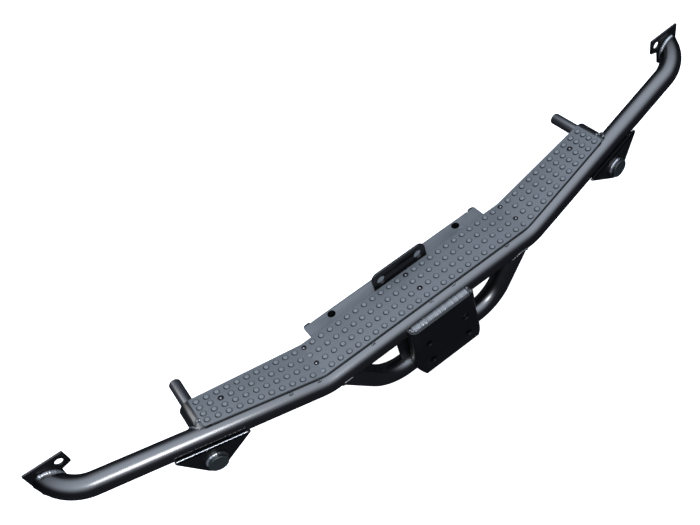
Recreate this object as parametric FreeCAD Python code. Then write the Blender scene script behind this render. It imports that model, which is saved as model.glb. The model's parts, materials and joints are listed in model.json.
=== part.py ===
import FreeCAD, Part
import math
import os

V = FreeCAD.Vector

# Main tube
TUBE_R = 26.0                 # outside radius of the bent main tube
TUBE_WALL = 3.2
RISE = 0.245                  # height gained by an outer run for each mm of width
SWEEP = 0.1065                # forward run of an outer run for each mm of width
BEND_R = 160.0                # centre-line radius of the two shallow bends
END_X = 866.0                 # corner of the wide end bend
END_BEND_R = 100.0
END_LEAN = 21.5               # the tube's tip, past the corner
END_TIP_Z = 155.5

# Clearances
GAP = 0.3                     # between curved faces of welded pieces
HOLE_FIT = 0.4                # screw hole larger than its screw, on the radius
REACH = 2000.0                # cutting bodies run this far past the part

# Tread and pan
TREAD_T = 3.0
PAN_T = 4.0
KINK_X = 300.0                # fold line of tread and pan
TREAD_REAR = -2.4
TREAD_FRONT = 107.0
TREAD_END_X = 577.0
TREAD_END_REAR = 27.0
TREAD_END_FRONT = 110.5
TREAD_CORNER = 5.0
PAN_INSET = 1.5               # pan edge set back from the tread edge
LIP_T = 4.0

# Buttons and screws
COLS = 23
FOLD_COL = 12
END_MARGIN = 13.4             # last column to the tread's end
ROW_0 = 10.0
ROW_STEP = 27.7
FOLD_SHIFT = -1.3
END_ROW_0 = 39.3
END_ROW_STEP = 18.6
DIMPLE_R = 6.6
DIMPLE_TOP_R = 3.4
DIMPLE_H = 1.8
SCREW_AT = ((21, 2), (12, 3), (12, 1), (0, 3), (0, 1))
SCREW_HEAD_R = 6.0
SCREW_HEAD_H = 1.6
SCREW_CHAMFER = 0.6
SCREW_SHANK_R = 3.0
SOCKET_R = 2.6
SOCKET_DEEP = 1.5

# Support plate and lug
WING_TOP = 13.0
WING_T = 4.0
WING_HALF = 267.0
WING_FRONT = 161.5
WING_EAR = 1.2                # flat corner past the fold
WING_FOLD_HALF = 243.0
WING_FOLD_R = 6.0
WING_FLANGE = 40.0
WING_CORNER = 9.0
WING_HOLE_X = 193.0
WING_HOLE_Y = 143.5
WING_HOLE_R = 10.5
LUG_HALF = 79.0
LUG_REAR = 113.0
LUG_T = 6.0
LUG_TOP = 72.8
LUG_CORNER = 19.0
LUG_HOLE_X = 55.4
LUG_HOLE_Z = 45.6
LUG_HOLE_R = 11.5

# Hoop and web
HOOP_R = 26.4
HOOP_WALL = 3.2
HOOP_LOW = -132.0
HOOP_Y = -0.7
HOOP_CORNER_X = 164.2
HOOP_TOP_X = 267.7
HOOP_BEND_R = 113.0
WEB_HALF = 116.0
WEB_T = 6.0
WEB_Y = -1.0
WEB_SINK = 10.0               # web reaches into the hollow between the two tubes

# Tow bracket
TOW_FACE = -47.0              # rear face of the folded bracket
TOW_T = 8.0
TOW_HALF_TOP = 91.0
TOW_HALF = 97.0
TOW_TAPER_LOW = -95.0         # the bracket widens down to here
TOW_BEND = 17.0               # outside radius of the folded edges
TOW_DEEP = 28.0               # side flange, face to edge
TOW_TOP = 12.0
TOW_LOW = -156.0
TOW_CUT_X = 15.0              # cut lower corners
TOW_CUT_Z = 24.0
TOW_HOLE_X = 55.0
TOW_HOLE_HIGH = -52.0
TOW_HOLE_LOW = -119.0
TOW_HOLE_R = 10.0
BEAD_HALF = 90.0
BEAD_BACK = 3.0               # bead's rear edge in front of the bracket's face
BEAD_FRONT = -14.0
BEAD_RISE = 5.0
BEAD_DEEP = 6.0

# End plates
PLATE_REAR = 105.8
PLATE_T = 5.0
PLATE_PAST = 27.5             # outer edge, past the tube's tip
PLATE_WIDE = 87.0
PLATE_TOP_IN = 202.7
PLATE_TOP_OUT = 208.0
PLATE_CORNER = 2.0
PLATE_FOOT_CORNER = 5.0
EAR_LOW = 165.0
EAR_STEP = 63.0               # outer edge to the step under the ear
EAR_STEP_Z = 159.0
PLATE_FOOT = 59.0             # width of the low part
PLATE_LOW = 121.0
PLATE_HOLE_EDGE = 18.0        # hole to the ear's edge
PLATE_HOLE_Z = 182.5
PLATE_HOLE_R = 9.5
END_WELD = 4.0

# Cross sleeves and pins
SLEEVE_X = 582.0
SLEEVE_R = 24.15
SLEEVE_FRONT = 112.5
PIN_R = 14.5
PIN_TIP = 195.5
SPIGOT_R = 12.0               # the part of the pin inside its sleeve
PIN_REAR = 68.0
PIN_CHAMFER = 2.0

# Gussets and bosses
GUSSET_T = 7.0
GUSSET_IN_X = 499.3
GUSSET_OUT_X = 664.5
GUSSET_TOP = -7.0
GUSSET_OUT_DROP = -12.0
APEX_X = 595.6
APEX_DROP = -62.0
APEX_R = 29.5
GUSSET_BEAD_H = 5.0
GUSSET_BEAD_EDGE = 0.7
GUSSET_BEAD_INSET_IN = 13.0
GUSSET_BEAD_INSET_OUT = 3.0
BOSS_X = 592.0
BOSS_Z = 14.5
BOSS_R = 21.2
BOSS_WALL = 4.0
BOSS_PROUD = 8.3              # behind the gusset, before the cap
BOSS_LEN = 76.0
CAP_R = 23.0
CAP_T = 3.5
CAP_PLUG = 8.0
CAP_CHAMFER = 1.2
RING_R = 25.5
RING_TIP = 1.2
RING_T = 3.5

os.makedirs("parts", exist_ok=True)

# Drawn from the tube axis at mid-width, stored from the middle of the support plate's bolt line.
ORIGIN = V(0, WING_HOLE_Y, WING_TOP)
ALPHA = math.degrees(math.atan(SWEEP))
SLOPE = math.atan(RISE)
TREAD_TOP = TUBE_R + GAP + PAN_T + TREAD_T
BEND_X = KINK_X + TREAD_TOP * math.tan(SLOPE / 2.0)
PITCH = KINK_X / FOLD_COL
OUTER_PITCH = (TREAD_END_X - END_MARGIN - KINK_X) / (COLS - FOLD_COL)
GUSSET_REAR = TUBE_R + GAP + GUSSET_T
END_CORNER = V(END_X, SWEEP * (END_X - BEND_X), RISE * (END_X - BEND_X))
END_TIP = V(END_X + END_LEAN, PLATE_REAR, END_TIP_Z)
PLATE_OUT = END_TIP.x + PLATE_PAST
PLATE_IN = PLATE_OUT - PLATE_WIDE
PLATE_LOW_IN = PLATE_OUT - PLATE_FOOT
EAR_STEP_X = PLATE_OUT - EAR_STEP
PLATE_HOLE_X = PLATE_IN + PLATE_HOLE_EDGE
SLEEVE_Z = TREAD_TOP + RISE * (SLEEVE_X - KINK_X) - (SLEEVE_R + TREAD_T + GAP) / math.cos(SLOPE)


def poly(points):
    pts = [V(*p) for p in points]
    return Part.Face(Part.makePolygon(pts + [pts[0]]))


def box(x0, x1, y0, y1, z0, z1):
    return Part.makeBox(x1 - x0, y1 - y0, z1 - z0, V(x0, y0, z0))


def cyl(r, a, b):
    a, b = V(*a), V(*b)
    return Part.makeCylinder(r, (b - a).Length, a, b - a)


def mirror(shape):
    return shape.mirror(V(0, 0, 0), V(1, 0, 0))


def save(name, shape):
    if shape.ShapeType == "Compound" and len(shape.Solids) == 1:
        shape = shape.Solids[0]
    shape = shape.copy()
    shape.translate(-ORIGIN)
    shape.exportStep("parts/%s.step" % name)
    print(name, "valid", shape.isValid(), "solids", len(shape.Solids), "cm3 %.2f" % (shape.Volume / 1000.0))


def path_edges(points, radii):
    """Lines joined by tangent arcs through the corner points."""
    pts = [V(*p) for p in points]
    edges = []
    cur = pts[0]
    for k in range(1, len(pts) - 1):
        a = (pts[k - 1] - pts[k]).normalize()
        b = (pts[k + 1] - pts[k]).normalize()
        half = a.getAngle(b) / 2.0
        cut = radii[k - 1] / math.tan(half)
        p, q = pts[k] + a * cut, pts[k] + b * cut
        bis = (a + b).normalize()
        mid = pts[k] + bis * (radii[k - 1] / math.sin(half) - radii[k - 1])
        edges.append(Part.makeLine(cur, p))
        edges.append(Part.Arc(p, mid, q).toShape())
        cur = q
    edges.append(Part.makeLine(cur, pts[-1]))
    return edges


def pipe(points, radii, r):
    wire = Part.Wire(path_edges(points, radii))
    start, nxt = V(*points[0]), V(*points[1])
    prof = Part.Wire([Part.Circle(start, nxt - start, r).toShape()])
    solid = wire.makePipeShell([prof], True, False)
    return solid if solid.Volume > 0 else solid.reversed()


def tube(points, radii, r, wall):
    return pipe(points, radii, r).cut(pipe(points, radii, r - wall))


def rounded(points, radii):
    """Flat face from corner points, each corner rounded by its radius."""
    pts = [V(*p) for p in points]
    n = len(pts)
    edges, first, cur = [], None, None
    for k in range(n):
        a = (pts[k - 1] - pts[k]).normalize()
        b = (pts[(k + 1) % n] - pts[k]).normalize()
        r = radii[k]
        if r > 0:
            half = a.getAngle(b) / 2.0
            cut = r / math.tan(half)
            p, q = pts[k] + a * cut, pts[k] + b * cut
            mid = pts[k] + (a + b).normalize() * (r / math.sin(half) - r)
            arc = Part.Arc(p, mid, q).toShape()
        else:
            p, q, arc = pts[k], pts[k], None
        if cur is not None:
            edges.append(Part.makeLine(cur, p))
        else:
            first = p
        if arc:
            edges.append(arc)
        cur = q
    edges.append(Part.makeLine(cur, first))
    return Part.Face(Part.Wire(edges))


# Main tube
LEFT = V(-1, 1, 1)


def flip(p):
    return (-p[0], p[1], p[2])


end_dir = (END_TIP - END_CORNER).normalize()
right_pts = [(BEND_X, 0, 0), tuple(END_CORNER), tuple(END_TIP + end_dir * 2 * TUBE_R)]
tube_pts = [flip(p) for p in reversed(right_pts)] + right_pts
tube_radii = [END_BEND_R, BEND_R, BEND_R, END_BEND_R]
behind_plates = box(-REACH, REACH, -REACH, PLATE_REAR, -REACH, REACH)
tube_shell = pipe(tube_pts, tube_radii, TUBE_R + GAP)
save("main_tube", tube(tube_pts, tube_radii, TUBE_R, TUBE_WALL).common(behind_plates))


# Sheets that follow the fold
def band(top, bottom):
    """Strip between two depths under the tread top, folded up at both sides, along Y."""
    def line(depth):
        kx = KINK_X + depth * math.tan(SLOPE / 2.0)
        z = TREAD_TOP - depth
        return (kx, z), (END_X, z + RISE * (END_X - kx))
    (k0, z0), (e0x, e0z) = line(top)
    (k1, z1), (e1x, e1z) = line(bottom)
    pts = [(-e0x, e0z), (-k0, z0), (k0, z0), (e0x, e0z), (e1x, e1z), (k1, z1), (-k1, z1), (-e1x, e1z)]
    face = poly([(x, -REACH, z) for x, z in pts])
    return face.extrude(V(0, 2 * REACH, 0))


def edge_y(x, middle, end):
    """Depth of a tread edge at x: straight across the middle, then swept to its end."""
    return middle + max(0.0, abs(x) - BEND_X) * (end - middle) / (TREAD_END_X - BEND_X)


def outline(inset, end_x, corner):
    rear = edge_y(end_x, TREAD_REAR, TREAD_END_REAR) + inset
    front = edge_y(end_x, TREAD_FRONT, TREAD_END_FRONT) - inset
    mid_rear, mid_front = TREAD_REAR + inset, TREAD_FRONT - inset
    pts = [(-end_x, rear, 0), (-BEND_X, mid_rear, 0), (BEND_X, mid_rear, 0), (end_x, rear, 0),
           (end_x, front, 0), (BEND_X, mid_front, 0), (-BEND_X, mid_front, 0), (-end_x, front, 0)]
    return rounded(pts, [corner, 0, 0, corner, corner, 0, 0, corner])


def prism(face, z0, z1):
    face = face.copy()
    face.translate(V(0, 0, z0))
    return face.extrude(V(0, 0, z1 - z0))


def surface_z(x):
    return TREAD_TOP + RISE * max(0.0, abs(x) - KINK_X)


def grid(col, row):
    s = 1 if col >= 0 else -1
    a = abs(col)
    if a <= FOLD_COL:
        return V(s * PITCH * a, ROW_0 + ROW_STEP * row, TREAD_TOP)
    t = float(a - FOLD_COL) / (COLS - FOLD_COL)
    y0 = ROW_0 + FOLD_SHIFT + ROW_STEP * row
    y1 = END_ROW_0 + END_ROW_STEP * row
    x = KINK_X + OUTER_PITCH * (a - FOLD_COL)
    return V(s * x, y0 + (y1 - y0) * t, surface_z(x))


def lay(shape, p):
    """Stand a shape made at the origin on the tread at p, square to the sheet."""
    shape = shape.copy()
    if abs(p.x) > KINK_X + GAP:
        turn = -math.degrees(SLOPE) if p.x > 0 else math.degrees(SLOPE)
        shape.rotate(V(0, 0, 0), V(0, 1, 0), turn)
    shape.translate(p)
    return shape


def frustum(sides, r0, r1, z0, z1):
    def ring(r, z):
        a = [2 * math.pi * (k + 0.5) / sides for k in range(sides)]
        return Part.makePolygon([V(r * math.cos(t), r * math.sin(t), z) for t in a + [a[0]]])
    return Part.makeLoft([ring(r0, z0), ring(r1, z1)], True, True)


screw_spots = []
for c, r in SCREW_AT:
    screw_spots.append(grid(c, r))
    if c:
        screw_spots.append(grid(-c, r))
screw_keys = set((s * c, r) for c, r in SCREW_AT for s in (1, -1))

tread = band(0, TREAD_T).common(prism(outline(0, TREAD_END_X, TREAD_CORNER), -REACH, REACH))
grow = (DIMPLE_R - DIMPLE_TOP_R) / DIMPLE_H
root = TREAD_T / 6.0
dimple = frustum(8, DIMPLE_R + grow * root, DIMPLE_TOP_R, -root, DIMPLE_H)
bumps = []
for c in range(-COLS, COLS + 1):
    for r in range(4):
        if (c, r) in screw_keys:
            continue
        bumps.append(lay(dimple, grid(c, r)))
tread = tread.fuse(bumps)
drill = cyl(SCREW_SHANK_R + HOLE_FIT, (0, 0, -2 * TREAD_T), (0, 0, TREAD_T)).fuse(
    cyl(SCREW_HEAD_R + HOLE_FIT, (0, 0, 0), (0, 0, TREAD_T)))
tread = tread.cut(Part.makeCompound([lay(drill, p) for p in screw_spots]))
save("tread_plate", tread)

head = cyl(SCREW_HEAD_R, (0, 0, 0), (0, 0, SCREW_HEAD_H))
head = head.makeChamfer(SCREW_CHAMFER, [e for e in head.Edges if e.BoundBox.ZMin > SCREW_HEAD_H / 2])
screw = head.fuse(cyl(SCREW_SHANK_R, (0, 0, SCREW_CHAMFER), (0, 0, -TREAD_T - PAN_T))).removeSplitter()
screw = screw.cut(frustum(6, SOCKET_R, SOCKET_R, SCREW_HEAD_H - SOCKET_DEEP, 2 * SCREW_HEAD_H))
save("tread_screws", Part.makeCompound([lay(screw, p) for p in screw_spots]))

# Pan: sheet under the tread with its front edge folded down
pan_end = SLEEVE_X - (SLEEVE_R + TREAD_T + GAP) * math.sin(SLOPE)
chord = math.sqrt((SLEEVE_R + GAP) ** 2 - (SLEEVE_R + GAP - PAN_T) ** 2)
pan_end -= (chord + GAP) * math.cos(SLOPE)
pan_face = outline(PAN_INSET, pan_end, 0)
behind_lip = pan_face.copy()
behind_lip.translate(V(0, -LIP_T, 0))
pan_body = prism(pan_face, -REACH, REACH)
pan = band(TREAD_T, TREAD_T + PAN_T).common(pan_body)
lip = band(TREAD_T, TREAD_TOP - WING_TOP).common(pan_body).cut(prism(behind_lip, -REACH, REACH))
pan = pan.fuse(max(lip.Solids, key=lambda q: q.Volume)).removeSplitter()
pan_drill = cyl(SCREW_SHANK_R + GAP, (0, 0, -2 * (TREAD_T + PAN_T)), (0, 0, TREAD_T))
pan = pan.cut(Part.makeCompound([lay(pan_drill, p) for p in screw_spots]))
save("step_pan", pan)

# Support plate: a flat wing with its front edge folded down between two flat ears
wing_y0 = math.sqrt((TUBE_R + GAP) ** 2 - (WING_TOP - WING_T) ** 2) + GAP
ear_y = WING_FRONT + WING_EAR
ear_x = WING_FOLD_HALF + WING_FOLD_R
fold_y = WING_FRONT - WING_FOLD_R
wing_face = rounded([(-WING_HALF, wing_y0, 0), (WING_HALF, wing_y0, 0), (WING_HALF, ear_y, 0),
                     (ear_x, ear_y, 0), (WING_FOLD_HALF, fold_y, 0), (-WING_FOLD_HALF, fold_y, 0),
                     (-ear_x, ear_y, 0), (-WING_HALF, ear_y, 0)],
                    [0, 0, WING_CORNER, WING_EAR, 0, 0, WING_EAR, WING_CORNER])
wing = prism(wing_face, WING_TOP - WING_T, WING_TOP)
fold = [(fold_y - WING_T, WING_TOP), (WING_FRONT, WING_TOP), (WING_FRONT, WING_TOP - WING_FLANGE),
        (WING_FRONT - WING_T, WING_TOP - WING_FLANGE), (WING_FRONT - WING_T, WING_TOP - WING_T),
        (fold_y - WING_T, WING_TOP - WING_T)]
flange = rounded([(-WING_FOLD_HALF, y, z) for y, z in fold], [0, WING_FOLD_R, 0, 0, WING_FOLD_R - WING_T, 0])
wing = wing.fuse(flange.extrude(V(2 * WING_FOLD_HALF, 0, 0))).removeSplitter()
for x in (WING_HOLE_X, -WING_HOLE_X):
    wing = wing.cut(cyl(WING_HOLE_R, (x, WING_HOLE_Y, 0), (x, WING_HOLE_Y, 2 * WING_TOP)))
save("support_plate", wing)

lug_face = rounded([(-LUG_HALF, LUG_REAR, WING_TOP), (LUG_HALF, LUG_REAR, WING_TOP),
                    (LUG_HALF, LUG_REAR, LUG_TOP), (-LUG_HALF, LUG_REAR, LUG_TOP)],
                   [0, 0, LUG_CORNER, LUG_CORNER])
lug = lug_face.extrude(V(0, LUG_T, 0))
for x in (LUG_HOLE_X, -LUG_HOLE_X):
    lug = lug.cut(cyl(LUG_HOLE_R, (x, 0, LUG_HOLE_Z), (x, 2 * LUG_REAR, LUG_HOLE_Z)))
save("hitch_lug", lug)

# Hoop and web
hoop_half = [(HOOP_CORNER_X, HOOP_Y, HOOP_LOW), (HOOP_TOP_X, 0, 0)]
hoop_pts = [flip(p) for p in reversed(hoop_half)] + hoop_half
hoop_radii = [HOOP_BEND_R, HOOP_BEND_R]
hoop = tube(hoop_pts, hoop_radii, HOOP_R, HOOP_WALL).cut(tube_shell)
hoop = max(hoop.Solids, key=lambda q: q.Volume)
save("hoop_tube", hoop)
hoop_shell = pipe(hoop_pts, hoop_radii, HOOP_R + GAP)
web = box(-WEB_HALF, WEB_HALF, WEB_Y - WEB_T / 2, WEB_Y + WEB_T / 2,
          HOOP_LOW + HOOP_R - WEB_SINK, WEB_SINK - TUBE_R)
web = web.cut(tube_shell).cut(hoop_shell)
save("web_plate", max(web.Solids, key=lambda q: q.Volume))

# Tow bracket: a plate with both sides and its foot folded forward, wider towards the foot
tow_front = TOW_FACE + TOW_DEEP


def tow_section(half, z):
    y0, y1, t = TOW_FACE, tow_front, TOW_T
    pts = [(-half, y1), (-half, y0), (half, y0), (half, y1), (half - t, y1), (half - t, y0 + t),
           (t - half, y0 + t), (t - half, y1)]
    radii = [0, TOW_BEND, TOW_BEND, 0, 0, TOW_BEND - t, TOW_BEND - t, 0]
    return rounded([(x, y, z) for x, y in pts], radii)


tow = tow_section(TOW_HALF, TOW_LOW).extrude(V(0, 0, TOW_TAPER_LOW - TOW_LOW))
taper = [tow_section(TOW_HALF, TOW_TAPER_LOW).OuterWire, tow_section(TOW_HALF_TOP, TOW_TOP).OuterWire]
foot_half = TOW_HALF - TOW_CUT_X
tow = tow.fuse(Part.makeLoft(taper, True, True))
tow = tow.fuse(box(-foot_half, foot_half, TOW_FACE, tow_front, TOW_LOW, TOW_LOW + TOW_T)).removeSplitter()
for s in (1, -1):
    corner = poly([(s * TOW_HALF, TOW_FACE, TOW_LOW), (s * (TOW_HALF - TOW_CUT_X), TOW_FACE, TOW_LOW),
                   (s * TOW_HALF, TOW_FACE, TOW_LOW + TOW_CUT_Z)])
    tow = tow.cut(corner.extrude(V(0, TOW_DEEP, 0)))
    for z in (TOW_HOLE_HIGH, TOW_HOLE_LOW):
        tow = tow.cut(cyl(TOW_HOLE_R, (s * TOW_HOLE_X, 2 * TOW_FACE, z), (s * TOW_HOLE_X, tow_front, z)))
tow = tow.cut(tube_shell).cut(hoop_shell)
tow = max(tow.Solids, key=lambda q: q.Volume)
save("tow_bracket", tow)

bead_low = TOW_TOP - BEAD_DEEP
bead_back = TOW_FACE + BEAD_BACK
bead_in = TOW_FACE + TOW_T
bead_section = [(BEAD_FRONT, TOW_TOP + BEAD_RISE), ((bead_back + BEAD_FRONT) / 2, TOW_TOP + BEAD_RISE),
                (bead_back, TOW_TOP + BEAD_RISE / 2), (bead_back, TOW_TOP),
                (bead_in, TOW_TOP), (bead_in, bead_low), (BEAD_FRONT, bead_low)]
bead = poly([(-BEAD_HALF, y, z) for y, z in bead_section])
bead = bead.extrude(V(2 * BEAD_HALF, 0, 0)).cut(tube_shell).cut(tow)
save("bracket_bead", max(bead.Solids, key=lambda q: q.Volume))

# End plates
plate_pts = [(PLATE_IN, PLATE_TOP_IN), (PLATE_OUT, PLATE_TOP_OUT), (PLATE_OUT, PLATE_LOW),
             (PLATE_LOW_IN, PLATE_LOW), (EAR_STEP_X, EAR_STEP_Z), (PLATE_IN, EAR_LOW)]
plate_radii = [PLATE_CORNER, PLATE_CORNER, PLATE_FOOT_CORNER, PLATE_FOOT_CORNER, PLATE_CORNER, PLATE_CORNER]
plate = rounded([(x, PLATE_REAR, z) for x, z in plate_pts], plate_radii).extrude(V(0, PLATE_T, 0))
hole_a, hole_b = (PLATE_HOLE_X, 0, PLATE_HOLE_Z), (PLATE_HOLE_X, 2 * PLATE_REAR, PLATE_HOLE_Z)
plate = plate.cut(cyl(PLATE_HOLE_R, hole_a, hole_b))
save("end_plate_right", plate)
save("end_plate_left", mirror(plate))

weld_root = tuple(END_TIP - end_dir * 2 * TUBE_R)
weld_far = tuple(END_TIP + end_dir * TUBE_R)
weld = cyl(TUBE_R + END_WELD, weld_root, weld_far).cut(tube_shell).cut(cyl(TUBE_R + GAP, weld_root, weld_far))
weld = weld.common(box(PLATE_IN, PLATE_OUT, PLATE_REAR - END_WELD, PLATE_REAR, PLATE_LOW, PLATE_TOP_IN))
weld = max(weld.Solids, key=lambda q: q.Volume)
save("end_beads", Part.makeCompound([weld, mirror(weld)]))

# Cross sleeves and pins
axis_y = SWEEP * (SLEEVE_X - BEND_X)
sleeve = cyl(SLEEVE_R, (SLEEVE_X, axis_y, SLEEVE_Z), (SLEEVE_X, SLEEVE_FRONT, SLEEVE_Z)).cut(tube_shell)
sleeve = sleeve.cut(cyl(SPIGOT_R + GAP, (SLEEVE_X, axis_y, SLEEVE_Z), (SLEEVE_X, PIN_TIP, SLEEVE_Z)))
sleeve = max(sleeve.Solids, key=lambda q: q.Volume)
save("cross_sleeve_right", sleeve)
save("cross_sleeve_left", mirror(sleeve))
pin = cyl(PIN_R, (SLEEVE_X, SLEEVE_FRONT, SLEEVE_Z), (SLEEVE_X, PIN_TIP, SLEEVE_Z))
pin = pin.makeChamfer(PIN_CHAMFER, [e for e in pin.Edges if e.BoundBox.YMin > PIN_TIP - PIN_CHAMFER])
spigot = cyl(SPIGOT_R, (SLEEVE_X, PIN_REAR, SLEEVE_Z), (SLEEVE_X, SLEEVE_FRONT, SLEEVE_Z))
pin = pin.fuse(spigot).removeSplitter()
save("chassis_pin_right", pin)
save("chassis_pin_left", mirror(pin))

# Gussets and bosses
COSA = math.cos(math.radians(ALPHA))


def local(x, z_rel):
    """Point of the gusset plane: x of the step, height measured from the tube axis there."""
    return ((x - BEND_X) / COSA, 0.0, RISE * (x - BEND_X) + z_rel)


def place(shape):
    shape = shape.copy()
    shape.rotate(V(0, 0, 0), V(0, 0, 1), ALPHA)
    shape.translate(V(BEND_X, 0, 0))
    return shape


def tangent(px, pz, side):
    """Where a line from (px, pz) touches the apex circle."""
    p, c = V(*local(px, pz)), V(*local(APEX_X, APEX_DROP))
    d = c - p
    turn = math.asin(APEX_R / d.Length) * side
    ln = math.sqrt(d.Length ** 2 - APEX_R ** 2)
    ang = math.atan2(d.z, d.x) + turn
    return p + V(math.cos(ang), 0, math.sin(ang)) * ln


t_in = tangent(GUSSET_IN_X, GUSSET_TOP, -1)
t_out = tangent(GUSSET_OUT_X, GUSSET_OUT_DROP, 1)
apex = V(*local(APEX_X, APEX_DROP)) + V(0, 0, -APEX_R)
g_edges = [Part.makeLine(V(*local(GUSSET_IN_X, GUSSET_TOP)), t_in), Part.Arc(t_in, apex, t_out).toShape(),
           Part.makeLine(t_out, V(*local(GUSSET_OUT_X, GUSSET_OUT_DROP))),
           Part.makeLine(V(*local(GUSSET_OUT_X, GUSSET_OUT_DROP)), V(*local(GUSSET_OUT_X, GUSSET_TOP))),
           Part.makeLine(V(*local(GUSSET_OUT_X, GUSSET_TOP)), V(*local(GUSSET_IN_X, GUSSET_TOP)))]
gusset = Part.Face(Part.Wire(g_edges))
gusset.translate(V(0, -GUSSET_REAR, 0))
gusset = gusset.extrude(V(0, GUSSET_T, 0))
boss_at = V((BOSS_X - BEND_X) / COSA, 0, BOSS_Z)
face_y = -GUSSET_REAR - BOSS_PROUD
boss_end = face_y + BOSS_LEN


def boss_cyl(r, ya, yb):
    return cyl(r, (boss_at.x, ya, boss_at.z), (boss_at.x, yb, boss_at.z))


gusset = place(gusset.cut(boss_cyl(BOSS_R + GAP, -REACH, REACH)))
save("gusset_right", gusset)
save("gusset_left", mirror(gusset))

# Weld along the top edge of each gusset
bead_a = V(*local(GUSSET_IN_X + GUSSET_BEAD_INSET_IN, GUSSET_TOP))
bead_b = V(*local(GUSSET_OUT_X - GUSSET_BEAD_INSET_OUT, GUSSET_TOP))
edge_y0 = -GUSSET_REAR + GUSSET_BEAD_EDGE
edge_y1 = -TUBE_R - GAP - GUSSET_BEAD_EDGE
seam = poly([bead_a + V(0, edge_y0, 0), bead_a + V(0, 0, 0), bead_a + V(0, 0, GUSSET_BEAD_H),
             bead_a + V(0, edge_y1, GUSSET_BEAD_H)]).extrude(bead_b - bead_a)
seam = max(place(seam).cut(tube_shell).Solids, key=lambda q: q.BoundBox.XLength)
save("gusset_beads", Part.makeCompound([seam, mirror(seam)]))

boss = boss_cyl(BOSS_R, face_y, boss_end).cut(boss_cyl(BOSS_R - BOSS_WALL, -REACH, REACH))
boss = place(boss).cut(tube_shell)
save("jack_tube_right", boss)
save("jack_tube_left", mirror(boss))
plug_r = BOSS_R - BOSS_WALL - GAP
cap = boss_cyl(CAP_R, face_y - CAP_T, face_y).fuse(boss_cyl(plug_r, face_y, face_y + CAP_PLUG)).removeSplitter()
cap = place(cap.makeChamfer(CAP_CHAMFER, [e for e in cap.Edges if e.BoundBox.YMax < face_y - CAP_T / 2]))
save("tube_cap_right", cap)
save("tube_cap_left", mirror(cap))
ring = Part.makeCone(RING_R, BOSS_R + RING_TIP, RING_T, V(boss_at.x, -GUSSET_REAR, boss_at.z), V(0, -1, 0))
ring = place(ring.cut(boss_cyl(BOSS_R + GAP, -REACH, REACH)))
save("boss_beads", Part.makeCompound([ring, mirror(ring)]))
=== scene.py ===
import json
import logging
import math
from dataclasses import dataclass
from enum import Enum
from typing import Dict, List, Optional, Sequence, Tuple

import bpy
import numpy as np
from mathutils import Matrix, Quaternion, Vector

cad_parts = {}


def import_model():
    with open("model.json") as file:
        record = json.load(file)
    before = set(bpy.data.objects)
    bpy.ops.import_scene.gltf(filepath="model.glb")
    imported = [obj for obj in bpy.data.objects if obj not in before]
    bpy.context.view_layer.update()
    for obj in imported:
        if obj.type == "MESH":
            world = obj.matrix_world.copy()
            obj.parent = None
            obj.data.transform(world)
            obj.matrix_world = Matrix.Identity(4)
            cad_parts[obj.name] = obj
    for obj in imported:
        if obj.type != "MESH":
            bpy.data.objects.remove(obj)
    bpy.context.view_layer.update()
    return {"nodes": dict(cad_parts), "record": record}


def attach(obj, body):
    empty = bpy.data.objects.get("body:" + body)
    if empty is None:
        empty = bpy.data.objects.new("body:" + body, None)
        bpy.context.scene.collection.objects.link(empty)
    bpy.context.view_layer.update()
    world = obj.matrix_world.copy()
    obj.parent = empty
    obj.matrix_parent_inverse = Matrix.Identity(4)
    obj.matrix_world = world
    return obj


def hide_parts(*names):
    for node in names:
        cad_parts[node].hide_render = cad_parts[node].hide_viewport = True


logging.basicConfig(level=logging.INFO, format="%(message)s")
log = logging.getLogger("rear_step")

BODY = "root"

# The step is measured in millimetres from the main tube's axis at mid-width. The stored frame
# starts at the middle of the support plate's bolt line.
WING_TOP = 13.0
WING_HOLE_Y = 143.5
ORIGIN = np.array([0.0, WING_HOLE_Y, WING_TOP])

GAP = 0.3
TUBE_R = 26.0
RISE = 0.245
SWEEP = 0.1065
SLOPE = math.atan(RISE)
BEND_R = 160.0
END_X = 866.0
END_BEND_R = 100.0
PLATE_REAR = 105.8
END_TIP = np.array([887.5, PLATE_REAR, 155.5])

TREAD_T = 3.0
PAN_T = 4.0
KINK_X = 300.0
TREAD_TOP = TUBE_R + GAP + PAN_T + TREAD_T
BEND_X = KINK_X + TREAD_TOP * math.tan(SLOPE / 2.0)
TREAD_REAR = (-2.4, 27.0)
TREAD_FRONT = (107.0, 110.5)
TREAD_END_X = 577.0
TREAD_CORNER = 5.0

COLS = 23
FOLD_COL = 12
PITCH = KINK_X / FOLD_COL
OUTER_PITCH = (TREAD_END_X - 13.4 - KINK_X) / (COLS - FOLD_COL)
ROW_0, ROW_STEP, FOLD_SHIFT = 10.0, 27.7, -1.3
END_ROW_0, END_ROW_STEP = 39.3, 18.6
ROWS = 4
SCREW_AT = ((21, 2), (12, 3), (12, 1), (0, 3), (0, 1))

HOOP_R = 26.4
HOOP_LOW = -132.0
HOOP_Y = -0.7
HOOP_CORNER_X = 164.2
HOOP_TOP_X = 267.7
HOOP_BEND_R = 113.0

TOW_FACE = -47.0
TOW_TOP = 12.0
BEAD_HALF = 90.0

SLEEVE_X = 582.0
SLEEVE_R = 24.15
SLEEVE_FRONT = 112.5
SLEEVE_Z = TREAD_TOP + RISE * (SLEEVE_X - KINK_X) - (SLEEVE_R + TREAD_T + GAP) / math.cos(SLOPE)
PIN_R = 14.5
PIN_TIP = 195.5

GUSSET_REAR = TUBE_R + GAP + 7.0
GUSSET_IN_X = 499.3
GUSSET_OUT_X = 664.5
GUSSET_TOP = -7.0
BOSS_X, BOSS_Z, BOSS_R = 592.0, 14.5, 21.2
BOSS_PROUD = 8.3
BOSS_LEN = 76.0
CAP_R, CAP_T = 23.0, 3.5

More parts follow.
